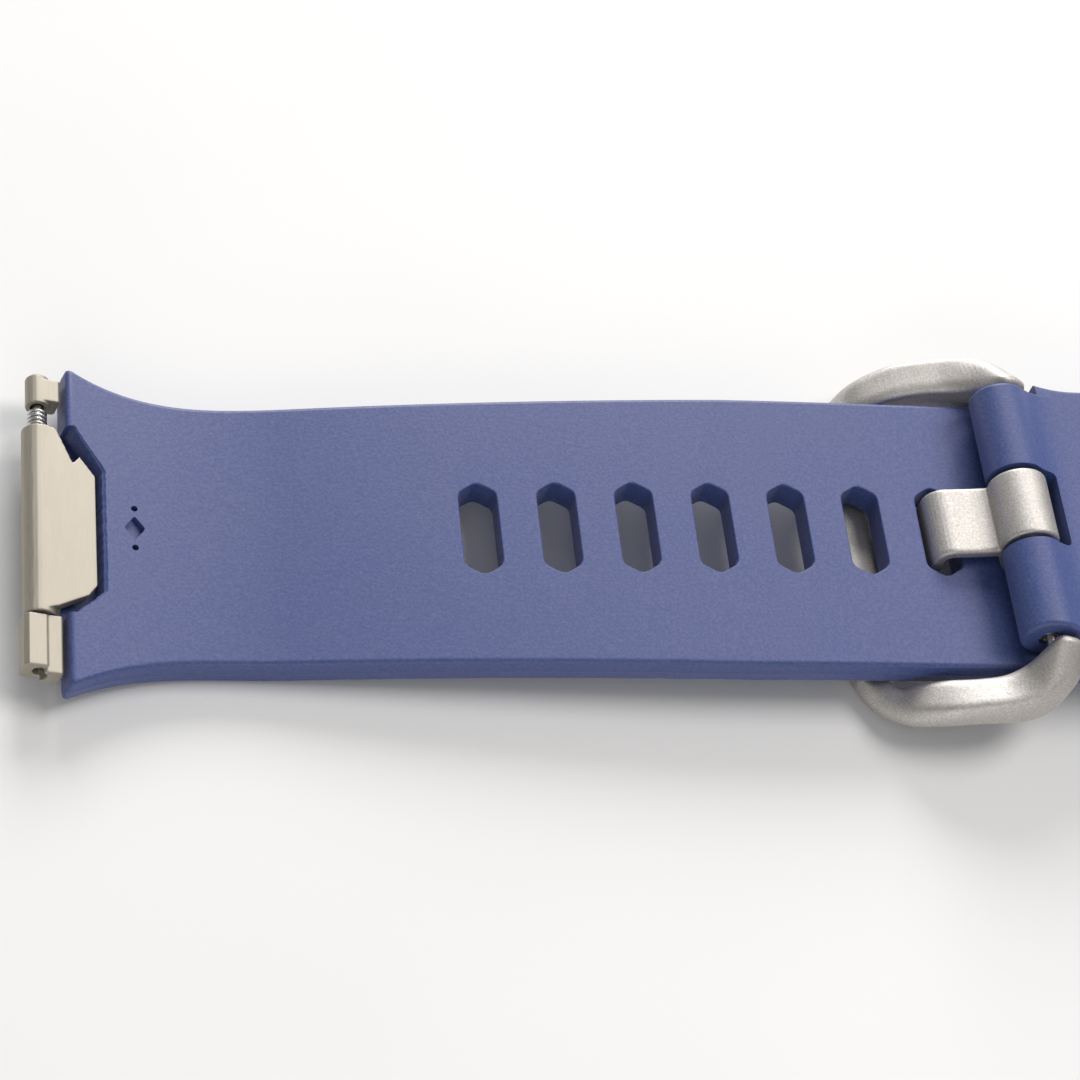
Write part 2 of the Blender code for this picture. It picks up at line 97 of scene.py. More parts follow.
STRAP_CLEAR = 11.8             # the arms keep outside this where the strap passes
EAR_BORE = 0.55
EAR_BORE_ENDS = (9.0, 12.2)
MARK_AT = 4.7                  # from the watch end
MARK_SIZE = (0.75, 1.0)        # half the lozenge's length along and across
MARK_DOT = (0.24, 1.6)         # radius, and place across
MARK_DEPTH = 0.2
TANG_HALF = 2.8
BLADE_HALF = 0.5
TIP_HALF = 0.37
HOOD_RADIUS = 2.2
BAR_BORE = 0.88                # bore for the spring bar in the knuckles and the hood
CUT_PAST = 0.4                 # how far a shallow cutter runs out of the face it opens
RAGGED = 3.1                   # how fast the unevenness of trimmed rubber changes, per mm
DRESS_WELD = 0.002             # points this close together become one
FRAME_SKIN = (0.09, 10)        # voxel and rounds of relaxing
TANG_SKIN = (0.07, 4)
LATCH_SKIN = (0.06, 5)
FAR_BLOCK_SKIN = (0.05, 3)
DRESS_EDGE = 0.03              # bevel on the small metal pieces


# ---- the line that each strap follows -------------------------------------------------------
class Line:
    """Straight runs and arcs in the XZ plane; each step is (length, turn in degrees)."""

    def __init__(self, x, z, angle, steps):
        self.parts = []
        for length, turn in steps:
            self.parts.append((x, z, angle, length, radians(turn)))
            x, z, angle = self.advance(x, z, angle, length, radians(turn), length)
        self.length = sum(step[0] for step in steps)

    @staticmethod
    def advance(x, z, angle, length, turn, distance):
        if abs(turn) < 1e-9:
            return x + distance * cos(angle), z + distance * sin(angle), angle
        radius = length / turn
        end = angle + distance / radius
        return x + radius * (sin(end) - sin(angle)), z - radius * (cos(end) - cos(angle)), end

    def at(self, distance):
        for x, z, angle, length, turn in self.parts:
            if distance <= length:
                break
            distance -= length
        else:
            distance += length
        if distance < 0:
            turn = 0.0
        return self.advance(x, z, angle, length, turn, distance)

    def point(self, distance, y, height):
        x, z, angle = self.at(distance)
        return Vector((x - height * sin(angle), y, z + height * cos(angle)))


def drop(angle):
    """Fall of the buckle strap over its droop and the start of its end curl."""
    return (DROOP_LENGTH / angle + CURL_RADIUS) * (1 - cos(angle))


def droop_angle(fall):
    """Turn in degrees over the droop that lets the buckle strap fall this far."""
    low, high = 0.01, 0.6
    for _ in range(50):
        middle = (low + high) / 2
        if drop(middle) < fall:
            low = middle
        else:
            high = middle
    return degrees(low)


START_ANGLE = radians(ARCH - END_CURL)
HOLE_LINE = Line(0.0, STRAP_THICK + CURL_RADIUS * (1 - cos(START_ANGLE)), START_ANGLE,
                 [(END_CURL_LENGTH, END_CURL), (ARCH_LENGTH, -ARCH),
                  (HOLE_STRAP_LENGTH - END_CURL_LENGTH - ARCH_LENGTH, 0.0)])
PIN_X, WRIST_FACE, _ = HOLE_LINE.at(PIN_AT)
PIN = Vector((PIN_X, 0.0, WRIST_FACE + PIN_HEIGHT))
BUCKLE_FACE = WRIST_FACE + GAP + BUCKLE_STRAP_THICK
DROOP = droop_angle(BUCKLE_FACE - BUCKLE_STRAP_THICK)
BUCKLE_LINE = Line(PIN_X, BUCKLE_FACE, 0.0,
                   [(LEVEL_LENGTH, 0.0), (DROOP_LENGTH, -DROOP), (END_CURL_LENGTH, END_CURL)])
BAR_TOP = WRIST_FACE - STRAP_THICK - GAP


def box_middle(name):
    low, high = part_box(name)
    return (Vector(low) + Vector(high)) / 2


# the band's frame sits in the CAD part's frame where the spring bar's tube lies
SHIFT = box_middle("spring_bar_tube") - PIN * MM


def to_frame(point):
    return Vector(point) * MM + SHIFT


# ---- making meshes --------------------------------------------------------------------------
def solid(name, rings, look=None, closed=False):
    """A closed mesh through rings of points given in the band's millimetres."""
    mesh = bpy.data.meshes.new(name)
    form = bmesh.new()
    rows = [[form.verts.new(to_frame(p)) for p in ring] for ring in rings]
    count = len(rows[0])
    pairs = list(zip(rows, rows[1:]))
    if closed:
        pairs.append((rows[-1], rows[0]))
    for near, far in pairs:
        for i in range(count):
            j = (i + 1) % count
            form.faces.new((near[i], near[j], far[j], far[i]))
    if not closed:
        form.faces.new(rows[0][::-1])
        form.faces.new(rows[-1])
    bmesh.ops.recalc_face_normals(form, faces=form.faces)
    form.to_mesh(mesh)
    form.free()
    item = bpy.data.objects.new(name, mesh)
    bpy.context.scene.collection.objects.link(item)
    if look:
        mesh.materials.append(look)
    return item


def apply_modifiers(item):
    """Turn an object's modifiers into its mesh."""
    bpy.context.view_layer.update()
    graph = bpy.context.evaluated_depsgraph_get()
    mesh = bpy.data.meshes.new_from_object(item.evaluated_get(graph))
    item.modifiers.clear()
    item.data = mesh


def combine(body, tool, operation):
    """Join the tool to the body, or cut it out, and remove the tool."""
    change = body.modifiers.new("combine", "BOOLEAN")
    change.operation = operation
    change.solver = "EXACT"
    change.object = tool
    apply_modifiers(body)
    bpy.data.objects.remove(tool, do_unlink=True)


def smooth_by_angle(item, angle=38):
    item.data.shade_smooth()
    item.data.set_sharp_from_angle(angle=radians(angle))
    flat = item.modifiers.new("normals", "WEIGHTED_NORMAL")
    flat.keep_sharp = True
    flat.weight = 100


def soften(item, voxel, rounds, weld=False):
    """Round every edge of an object: an even skin, relaxed a few times; voxel in mm."""
    if weld:
        item.modifiers.new("weld", "WELD").merge_threshold = DRESS_WELD * MM
    skin = item.modifiers.new("skin", "REMESH")
    skin.mode = "VOXEL"
    skin.voxel_size = voxel * MM
    skin.use_smooth_shade = True
    relax = item.modifiers.new("relax", "SMOOTH")
    relax.factor = 0.5
    relax.iterations = rounds


def spaced(start, end, step):
    """Even stations from start to end, about a step apart."""
    count = max(1, round((end - start) / step))
    return [start + (end - start) * i / count for i in range(count + 1)]


def arc(centre, radius, start, end, count):
    """Points of an arc from one angle to another, in degrees."""
    return [(centre[0] + radius * cos(radians(start + (end - start) * i / count)),
             centre[1] + radius * sin(radians(start + (end - start) * i / count)))
            for i in range(count + 1)]


def circle(centre, radius, count=36):
    """Points of a whole circle, the first one not repeated."""
    return arc(centre, radius, 0, 360 - 360 / count, count - 1)


def rounded_corners(outline, radius, count=4):
    """A closed outline whose corners are replaced by short curves."""
    result = []
    total = len(outline)
    for i, corner in enumerate(outline):
        corner = Vector(corner)
        before = Vector(outline[i - 1]) - corner
        after = Vector(outline[(i + 1) % total]) - corner
        reach = min(radius, before.length * 0.45, after.length * 0.45)
        start = corner + before.normalized() * reach
        end = corner + after.normalized() * reach
        for k in range(count + 1):
            t = k / count
            result.append(tuple(start * (1 - t) ** 2 + corner * 2 * t * (1 - t) + end * t * t))
    return result


def inset(outline, amount):
    """An anticlockwise outline moved inwards along its own normals."""
    result = []
    total = len(outline)
    for i, point in enumerate(outline):
        along = Vector(outline[(i + 1) % total]) - Vector(outline[i - 1])
        if along.length < 1e-9:
            result.append(point)
            continue
        along.normalize()
        result.append((point[0] - along.y * amount, point[1] + along.x * amount))
    return result


def area_sign(outline):
    """1 for an anticlockwise outline, -1 for a clockwise one."""
    total = sum(a[0] * b[1] - a[1] * b[0] for a, b in zip(outline, outline[1:] + outline[:1]))
    return 1 if total > 0 else -1


def prism_across(name, outline, low, high, edge, look=None):
    """An XZ outline extruded along Y, with rounded ends."""
    if area_sign(outline) < 0:
        outline = outline[::-1]
    stations = [(low, edge), (low + edge * 0.13, edge * 0.5), (low + edge * 0.5, edge * 0.13),
                (low + edge, 0.0), (high - edge, 0.0), (high - edge * 0.5, edge * 0.13),
                (high - edge * 0.13, edge * 0.5), (high, edge)]
    rings = [[(x, y, z) for x, z in inset(outline, amount)] for y, amount in stations]
    return solid(name, rings, look)


def strap_section(half, thick, trim):
    """Rounded section of a strap as (y, height), with a fine moulding line on each flank."""
    radius, corner = EDGE_ROUND, 4
    low, high = -half + trim, half - trim
    bottom, top = -thick + trim * 0.6, -trim * 0.6
    middle = (bottom + top) / 2
    under, over = middle - SEAM * 2, middle + SEAM * 2
    points = arc((high - radius, bottom + radius), radius, -90, 0, corner)
    points += [(high, under), (high + SEAM, middle), (high, over)]
    points += arc((high - radius, top - radius), radius, 0, 90, corner)
    points += arc((low + radius, top - radius), radius, 90, 180, corner)
    points += [(low, over), (low - SEAM, middle), (low, under)]
    points += arc((low + radius, bottom + radius), radius, 180, 270, corner)
    return points


def end_trim(distance, length, reach=0.5):
    """How far a strap's outline is drawn in close to its square ends."""
    near = min(distance, length - distance)
    if near >= reach:
        return 0.0
    return reach * (1 - sqrt(1 - (1 - near / reach) ** 2))


def flare(distance):
    """How far each edge spreads this near a watch end."""
    rest = max(0.0, 1 - distance / FLARE_LENGTH)
    return FLARE * rest ** FLARE_POWER


# ---- materials ------------------------------------------------------------------------------
class Look:
    """A Principled material with helpers for procedural detail in object space."""

    def __init__(self, name, roughness, metallic=0.0):
        self.material = bpy.data.materials.new(name)
        self.material.use_nodes = True
        self.tree = self.material.node_tree
        self.shader = self.tree.nodes["Principled BSDF"]
        self.place = self.tree.nodes.new("ShaderNodeTexCoord").outputs["Object"]
        self.set("Roughness", roughness)
        self.set("Metallic", metallic)

    def set(self, socket, value):
        self.shader.inputs[socket].default_value = value

    def feed(self, socket, value):
        """Link another node's output to a socket, or set a plain value on it."""
        if isinstance(value, bpy.types.NodeSocket):
            self.tree.links.new(value, socket)
        else:
            socket.default_value = value

    def node(self, kind, **inputs):
        made = self.tree.nodes.new(kind)
        for name, value in inputs.items():
            self.feed(made.inputs[name], value)
        return made

    def noise(self, size, detail=2.0, stretch=(1.0, 1.0, 1.0), rough=0.55):
        """Noise whose features are about size millimetres."""
        mapped = self.node("ShaderNodeMapping", Vector=self.place, Scale=stretch)
        return self.node("ShaderNodeTexNoise", Vector=mapped.outputs[0], Scale=1 / (size * MM),
                         Detail=detail, Roughness=rough).outputs["Fac"]

    def remap(self, value, low, high, start=0.3, end=0.7):
        """Spread a value's span from start to end over low to high."""
        made = self.node("ShaderNodeMapRange", Value=value)
        for name, number in (("From Min", start), ("From Max", end), ("To Min", low),
                             ("To Max", high)):
            made.inputs[name].default_value = number
        return made.outputs[0]

    def mix(self, factor, first, second):
        """A colour between two others."""
        made = self.tree.nodes.new("ShaderNodeMix")
        made.data_type = "RGBA"
        for name, value in (("Factor_Float", factor), ("A_Color", first), ("B_Color", second)):
            self.feed(next(s for s in made.inputs if s.identifier == name), value)
        return next(s for s in made.outputs if s.identifier == "Result_Color")

    def bump(self, height, depth, strength=1.0, below=None):
        """Relief of a given depth in millimetres, on top of another relief."""
        made = self.node("ShaderNodeBump", Height=height, Strength=strength,
                         Distance=depth * MM)
        if below:
            self.tree.links.new(below, made.inputs["Normal"])
        return made.outputs[0]

    def link(self, output, socket):
        self.tree.links.new(output, self.shader.inputs[socket])


def rubber(name, deep, pale):
    """Matt coloured rubber: faint clouds, fine flecks and a moulded grain."""
    look = Look(name, 0.5)
    cloud = look.remap(look.noise(7.0, 3.0), 0.0, 1.0)
    fleck = look.remap(look.noise(0.2, 3.0), 0.0, 1.0, 0.38, 0.7)
    base = look.mix(cloud, deep, pale)
    look.link(look.mix(fleck, base, (0.055, 0.09, 0.255, 1)), "Base Color")
    look.link(look.remap(look.noise(0.3, 3.0), 0.48, 0.56), "Roughness")
    look.set("Specular IOR Level", 0.75)
    look.set("Specular Tint", (1.0, 0.82, 0.66, 1))
    look.set("Sheen Weight", 0.1)
    look.set("Sheen Roughness", 0.5)
    look.set("Sheen Tint", (1.0, 0.8, 0.75, 1))
    grain = look.bump(look.noise(0.28, 3.0), 0.02, 0.5)
    fine = look.bump(look.noise(0.1, 2.0), 0.012, 0.5, grain)
    look.link(fine, "Normal")
    return look.material


def blasted_metal(name):
    """Bead-blasted metal: a pale speckle of small pits."""
    look = Look(name, 0.58, 1.0)
    speck = look.remap(look.noise(0.12, 3.0), 0.0, 1.0, 0.35, 0.68)
    cloud = look.remap(look.noise(1.6, 3.0), 0.0, 1.0)
    pale = look.mix(cloud, (0.63, 0.60, 0.575, 1), (0.69, 0.66, 0.635, 1))
    look.link(look.mix(speck, (0.47, 0.445, 0.42, 1), pale), "Base Color")
    look.link(look.remap(look.noise(0.3, 3.0), 0.52, 0.64), "Roughness")
    pits = look.bump(look.noise(0.11, 4.0), 0.016, 0.7)
    look.link(pits, "Normal")
    return look.material


def satin_metal(name):
    """Warm satin metal, brushed across the band."""
    look = Look(name, 0.4, 1.0)
    lines = look.noise(0.11, 3.0, (1.0, 0.05, 1.0))
    cloud = look.remap(look.noise(1.3, 3.0, (1.0, 0.25, 1.0)), 0.0, 1.0)
    pale = look.mix(cloud, (0.43, 0.395, 0.335, 1), (0.465, 0.43, 0.37, 1))
    streak = look.remap(lines, 0.0, 1.0, 0.3, 0.6)
    look.link(look.mix(streak, (0.39, 0.355, 0.30, 1), pale), "Base Color")
    look.link(look.remap(lines, 0.56, 0.68), "Roughness")
    brushed = look.bump(lines, 0.004, 0.3)
    grain = look.bump(look.noise(0.1, 3.0), 0.006, 0.4, brushed)
    look.link(grain, "Normal")
    return look.material


def bright_steel(name):
    """Bright drawn steel of the pins and springs."""
    look = Look(name, 0.25, 1.0)
    drawn = look.noise(0.08, 2.0, (1.0, 0.08, 1.0))
    look.link(look.mix(look.remap(drawn, 0.0, 1.0), (0.52, 0.51, 0.5, 1), (0.72, 0.71, 0.7, 1)),
              "Base Color")
    look.link(look.remap(look.noise(0.4, 2.0), 0.2, 0.38), "Roughness")
    look.link(look.bump(drawn, 0.004, 0.4), "Normal")
    return look.material


BLUE = rubber("blue_rubber_grain", (0.014, 0.054, 0.22, 1), (0.023, 0.06, 0.215, 1))
KEEPER_BLUE = rubber("keeper_rubber_grain", (0.013, 0.051, 0.21, 1), (0.022, 0.057, 0.205, 1))
CAST = blasted_metal("blasted_buckle_metal_speckled")
SATIN = satin_metal("satin_latch_metal_brushed")
STEEL = bright_steel("bright_steel_drawn")


# ---- hole strap -----------------------------------------------------------------------------
def hole_strap_half(distance):
    """Half the hole strap's width, narrowed round its tail."""
    half = HALF_WIDTH_AT_WATCH + WIDENING * min(distance, FULL_WIDTH_FROM) + flare(distance)
    past = distance - (HOLE_STRAP_LENGTH - TAIL_ROUND)
    if past > 0:
        half *= max(0.35, sqrt(1 - (past / (TAIL_ROUND * 1.06)) ** 2))
    return half


def strap_loft(name, line, thick, half_at, stations):
    """A strap's rubber, from its rounded section at each station along its line."""
    rings = []
    for s in stations:
        trim = end_trim(s, line.length)
        section = strap_section(half_at(s), thick, trim)
        rings.append([line.point(s, y, height) for y, height in section])
    return solid(name, rings, BLUE)


def hole_outline(grow):
    """Six-sided hole with a point at each side of the strap, made larger by grow."""
    along, across = HOLE_SIZE[0] / 2 + grow, HOLE_SIZE[1] / 2 + grow
    shoulder = HOLE_SIZE[1] / 2 - HOLE_POINT + grow * 0.5
    corners = [(-along, -shoulder), (0, -across), (along, -shoulder),
               (along, shoulder), (0, across), (-along, shoulder)]
    return rounded_corners(corners, HOLE_CORNER, 3)


def hole_cutter(number):
    """A hole with softly rounded rims, square to the strap."""
    x, z, angle = HOLE_LINE.at(FIRST_HOLE + (number - 1) * HOLE_PITCH)
    # height above the wrist face, and how much wider the hole is there
    levels = [(0.6, 0.75), (0.0, 0.13), (-0.05, 0.05), (-0.14, 0.0)]
    levels += [(-STRAP_THICK - h, grow) for h, grow in reversed(levels)]
    rings = []
    for height, grow in levels:
        rings.append([(x + u * cos(angle) - height * sin(angle), y,
                       z + u * sin(angle) + height * cos(angle))
                      for u, y in hole_outline(grow)])
    return solid("cut_hole", rings)


def end_matrix(line, distance, outward):
    """Frame of a connector: x points into the rubber, z out of its wrist face."""
    x, z, angle = line.at(distance)
    into = Vector((-cos(angle), 0, -sin(angle))) * outward
    up = Vector((-sin(angle), 0, cos(angle)))
    across = up.cross(into)
    turn = Matrix((into, across, up)).transposed().to_4x4()
    turn.translation = (x, 0, z)
    return turn


def slab_in(matrix, name, outline, bottom, top):
    """A flat slab with this outline, in a connector's frame."""
    rings = [[matrix @ Vector((x, y, z)) for x, y in outline] for z in (bottom, top)]
    return solid(name, rings)


def ragged(outline, step, amount):
    """An outline with the small unevenness of trimmed rubber."""
    result = []
    for a, b in zip(outline, outline[1:] + outline[:1]):
        a, b = Vector(a), Vector(b)
        count = max(1, round((b - a).length / step))
        for i in range(count):
            point = a.lerp(b, i / count)
            shake = noise.noise_vector(Vector((point.x * RAGGED, point.y * RAGGED, 0.5)))
            result.append((point.x + shake.x * amount, point.y + shake.y * amount))
    return result


def cut_pocket(strap, matrix):
    """The recess at a strap's watch end that the latch lever sits in."""
    outline = [(-3.0, -7.3), (0.4, -7.3), (2.45, -5.4), (2.45, 4.6), (0.4, 8.0), (-3.0, 8.0)]
    # height above the wrist face, and how far the inner edge has opened there
    levels = [(-2.0, 0.0), (-0.25, 0.0), (-0.08, 0.06), (0.0, 0.2), (CUT_PAST, 0.6)]
    uneven = ragged(outline, 0.2, 0.07)
    rings = [[matrix @ Vector((x + grow * (x > 0), y, z)) for x, y in uneven]
             for z, grow in levels]
    combine(strap, solid("cut_pocket", rings), "DIFFERENCE")


def cut_mark(strap, matrix):
    """A plain recessed lozenge between two dots: a mould mark that spells nothing."""
    along, across = MARK_SIZE
    radius, aside = MARK_DOT
    lozenge = rounded_corners([(MARK_AT + along, 0.0), (MARK_AT, across),
                               (MARK_AT - along, 0.0), (MARK_AT, -across)], 0.2)
    shapes = [lozenge] + [circle((MARK_AT, y), radius, 18) for y in (-aside, aside)]
    for shape in shapes:
        combine(strap, slab_in(matrix, "cut_mark", shape, -MARK_DEPTH, CUT_PAST), "DIFFERENCE")


def make_hole_strap():
    # closer stations where the width or the section changes fast
    stations = spaced(0, 0.5, 0.1) + spaced(0.8, 14, 0.3) + spaced(14.5, 71.5, 0.5)
    stations += spaced(72, 79.5, 0.25) + spaced(79.6, HOLE_STRAP_LENGTH, 0.1)
    strap = strap_loft("hole_strap_skin", HOLE_LINE, STRAP_THICK, hole_strap_half, stations)
    for number in range(1, HOLE_COUNT + 1):
        combine(strap, hole_cutter(number), "DIFFERENCE")
    matrix = end_matrix(HOLE_LINE, 0.0, -1)
    cut_pocket(strap, matrix)
    cut_mark(strap, matrix)
    smooth_by_angle(strap)
    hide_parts("hole_strap")
    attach(strap, "hole_strap_side")


# ---- buckle strap and keepers ---------------------------------------------------------------
def buckle_strap_half(distance):
    """Half the buckle strap's width, with shoulders behind the knuckles."""
    extra, length = SHOULDER_FLARE
    shoulder = extra * max(0.0, 1 - (distance - SHOULDER) / length) ** 2
    return BUCKLE_STRAP_HALF + shoulder + flare(BUCKLE_LINE.length - distance)


def knuckle_outline():
    """Side view of the strap's rolled end round the spring bar."""
    top = arc((PIN.x, PIN.z), KNUCKLE_RADIUS, 270, KNUCKLE_LEAVES, 40)
    last = Vector(top[-1])
    slope = Vector((sin(radians(KNUCKLE_LEAVES)), -cos(radians(KNUCKLE_LEAVES))))
    turns, ends = (PIN.x + reach for reach in KNUCKLE_BLEND)
    face = BUCKLE_FACE - KNUCKLE_SINK
    bend = [last, last + slope * 1.1, Vector((turns, face)), Vector((ends, face))]
    steps = 10
    for i in range(1, steps + 1):
        t = i / steps
        point = (bend[0] * (1 - t) ** 3 + bend[1] * 3 * t * (1 - t) ** 2
                 + bend[2] * 3 * t * t * (1 - t) + bend[3] * t ** 3)
        top.append(tuple(point))
    return top + [(ends, WRIST_FACE + GAP + KNUCKLE_SINK)]


def make_buckle_strap():
    end = BUCKLE_LINE.length
    stations = spaced(SHOULDER, 6, 0.25) + spaced(6.5, LEVEL_LENGTH, 1.5)
    stations += spaced(LEVEL_LENGTH + 1, end - 14, 0.8) + spaced(end - 13.7, end - 0.5, 0.3)
    stations += spaced(end - 0.4, end, 0.1)
    strap = strap_loft("buckle_strap_skin", BUCKLE_LINE, BUCKLE_STRAP_THICK, buckle_strap_half,
                       stations)
    knuckle = prism_across("knuckle", knuckle_outline(), -KNUCKLE_HALF, KNUCKLE_HALF, 0.35)
    combine(strap, knuckle, "UNION")
    # the tang's hood sits in the notch, and the spring bar passes through the bore
    notch = [(PIN.x - 5, NOTCH_HALF), (PIN.x - 5, -NOTCH_HALF),
             (PIN.x + NOTCH_DEPTH, -NOTCH_HALF), (PIN.x + NOTCH_DEPTH, NOTCH_HALF)]
    notch = rounded_corners(notch, 0.5, 5)
    cutter = solid("cut_notch", [[(x, y, z) for x, y in notch]
                                 for z in (PIN.z - 5, PIN.z + 5)])
    combine(strap, cutter, "DIFFERENCE")
    bore = circle((PIN.x, PIN.z), BAR_BORE)
    combine(strap, solid("cut_bore", [[(x, y, z) for x, z in bore] for y in (-12, 12)]),
            "DIFFERENCE")
    cut_pocket(strap, end_matrix(BUCKLE_LINE, end, 1))
    smooth_by_angle(strap)
    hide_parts("buckle_strap")
    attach(strap, "buckle_strap_side")


def make_keeper(node, body):
    """A rubber loop with rounded edges, following the CAD keeper's box."""
    low, high = (Vector(corner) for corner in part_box(node))
    low = (low - SHIFT) / MM
    high = (high - SHIFT) / MM
    wall = KEEPER_WALL / 2
    corner = KEEPER_CORNER
    path = []
    y1, z0, z1 = high.y - wall, low.z + wall, high.z - wall
    for (cy, cz), start in (((y1 - corner, z1 - corner), 0), ((-y1 + corner, z1 - corner), 90),
                            ((-y1 + corner, z0 + corner), 180), ((y1 - corner, z0 + corner), 270)):
        for a in range(0, 91, 9):
            turn = radians(start + a)
            path.append((cy + corner * cos(turn), cz + corner * sin(turn),
                         cos(turn), sin(turn)))
    half = (high.x - low.x) / 2
    middle = (high.x + low.x) / 2
    section = rounded_corners([(-half, -wall), (half, -wall), (half, wall * 0.9),
                               (0.0, wall), (-half, wall * 0.9)], KEEPER_EDGE, 5)
    rings = [[(middle + a, y + ny * b, z + nz * b) for a, b in section]
             for y, z, ny, nz in path]
    keeper = solid(node + "_skin", rings, KEEPER_BLUE, closed=True)
    smooth_by_angle(keeper, 50)
    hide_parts(node)
    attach(keeper, body)


# ---- buckle frame ---------------------------------------------------------------------------
ARM_ROWS = [
    # from the pin, inner and outer y, underside, shoulder, crest y and z, inner edge's height
    (-12.8, 9.0, 10.9, 0.1, 1.2, 10.4, 2.1, 2.1),
    (-12.2, 9.0, 12.1, 0.1, 1.3, 11.5, 2.2, 2.2),
    (-11.3, 9.8, 13.3, 0.3, 1.7, 12.6, 2.45, 2.3),
    (-10.2, 11.7, 14.3, 0.8, 2.5, 13.7, 3.1, 2.9),
    (-9.0, 11.9, 14.9, 1.4, 3.2, 14.4, 4.0, 3.9),
    (-7.0, 12.2, 15.3, 2.3, 4.3, 14.9, 5.1, 4.9),
    (-5.0, 12.4, 15.4, 2.8, 4.9, 15.0, 5.8, 5.5),
    (-3.0, 12.3, 15.4, 3.0, 5.3, 15.0, 6.3, 6.0),
    (-1.4, 11.8, 15.2, 3.0, 5.5, 14.8, 6.8, 7.1),
    (0.0, 10.9, 14.7, 2.9, 5.5, 14.1, 7.3, 9.0),
    (1.2, 10.9, 14.0, 3.3, 5.8, 13.3, 7.3, 9.0),
    (2.2, 10.9, 13.0, 4.4, 6.3, 12.4, 6.9, 8.3),
]


def through(rows, per):
    """Rows of numbers with smooth in-between rows."""
    result = []
    for i in range(len(rows) - 1):
        a, b, c, d = (rows[max(i - 1, 0)], rows[i], rows[i + 1], rows[min(i + 2, len(rows) - 1)])
        for k in range(per):
            t = k / per
            result.append(tuple(
                0.5 * (2 * q + (r - p) * t + (2 * p - 5 * q + 4 * r - s) * t * t
                       + (3 * q - p - 3 * r + s) * t ** 3)
                for p, q, r, s in zip(a, b, c, d)))
    result.append(rows[-1])
    return result


def arm_rings(side):
    """Sections of one arm from the bar to the ear; the arm keeps clear of the strap."""
    rings = []
    for u, inner, outer, bottom, shoulder, crest_y, crest_z, top in through(ARM_ROWS, 5):
        clear = max(inner, STRAP_CLEAR) if top > WRIST_FACE else inner
        ledge = min(WRIST_FACE + GAP, (bottom + top) / 2)
        outline = [(clear, bottom), (outer - 0.8, bottom), (outer, bottom + 0.7),
                   (outer, shoulder), (crest_y, crest_z), (inner + 0.5, top),
                   (inner, top - 0.4), (inner, ledge + 0.12), (clear, ledge)]
        outline = rounded_corners(outline, 0.45, 4)
        rings.append([(PIN.x + u, side * y, z) for y, z in outline])
    return rings


def make_buckle_frame():
    """A front bar with an arm and an ear at each end, and a rest for the tang's tip."""
    bar_outline = rounded_corners([(PIN.x + BAR_FRONT, 0.0), (PIN.x + BAR_REAR, 0.0),
                                   (PIN.x + BAR_REAR, BAR_TOP), (PIN.x + BAR_FRONT, BAR_TOP)],
                                  BAR_ROUND, 6)
    piece = prism_across("buckle_frame_cast", bar_outline, -BAR_HALF, BAR_HALF, 0.4, CAST)
    for side in (1, -1):
        combine(piece, solid("arm", arm_rings(side)), "UNION")
        ear = circle((PIN.x, PIN.z), EAR_BORE)
        bore = solid("cut_ear", [[(x, side * y, z) for x, z in ear] for y in EAR_BORE_ENDS])
        combine(piece, bore, "DIFFERENCE")
    front, rear = PIN.x + BAR_FRONT + 0.5, PIN.x + BAR_REAR
    notch = [(front, -1.0), (rear + 1, -1.0), (rear + 1, 1.6), (rear - 0.6, 1.25), (front, 1.25)]
    combine(piece, solid("cut_notch", [[(x, y, z) for x, z in notch] for y in (-3.2, 3.2)]),
            "DIFFERENCE")
    soften(piece, *FRAME_SKIN)
    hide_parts("buckle_frame")
    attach(piece, "buckle_frame")


def blade_path():
    """Middle line of the tang's blade, through the hole to its tip."""
    left = PIN.x - HOLE_PITCH - HOLE_SIZE[0] / 2
    outer = WRIST_FACE - STRAP_THICK
    points = [(PIN.x - 1.2, WRIST_FACE + 1.5), (PIN.x - 2.2, WRIST_FACE + 1.42),
              (PIN.x - 3.3, WRIST_FACE + 1.25)]
    points += arc((left + 2, WRIST_FACE), 1.1, 85, 180, 8)
    points += arc((left, outer), 1.0, 0, -90, 8)
    return points + [(PIN.x + BAR_REAR + 0.3, 0.62), (PIN.x + BAR_FRONT + 0.9, 0.5)]


def make_tang():
    """A thick blade through the hole, with a rolled hood on the pin."""
    path = [Vector(p) for p in blade_path()]
    upper, lower = [], []
    for i, point in enumerate(path):
        ahead = (path[min(i + 1, len(path) - 1)] - path[max(i - 1, 0)]).normalized()
        across = Vector((-ahead.y, ahead.x))
        half = TIP_HALF if i >= len(path) - 2 else BLADE_HALF
        upper.append(tuple(point + across * half))
        lower.append(tuple(point - across * half))
    outline = upper + lower[::-1]
    piece = prism_across("buckle_tang_cast", outline, -TANG_HALF, TANG_HALF, 0.3, CAST)
    roll = circle((PIN.x, PIN.z), HOOD_RADIUS, 72)
    hood = prism_across("hood", roll, -TANG_HALF, TANG_HALF, 0.25)
    combine(piece, hood, "UNION")
    bore = circle((PIN.x, PIN.z), BAR_BORE)
    combine(piece, solid("cut_hood", [[(x, y, z) for x, z in bore] for y in (-4, 4)]),
            "DIFFERENCE")
    soften(piece, *TANG_SKIN)
    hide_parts("buckle_tang")
    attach(piece, "buckle_tang")


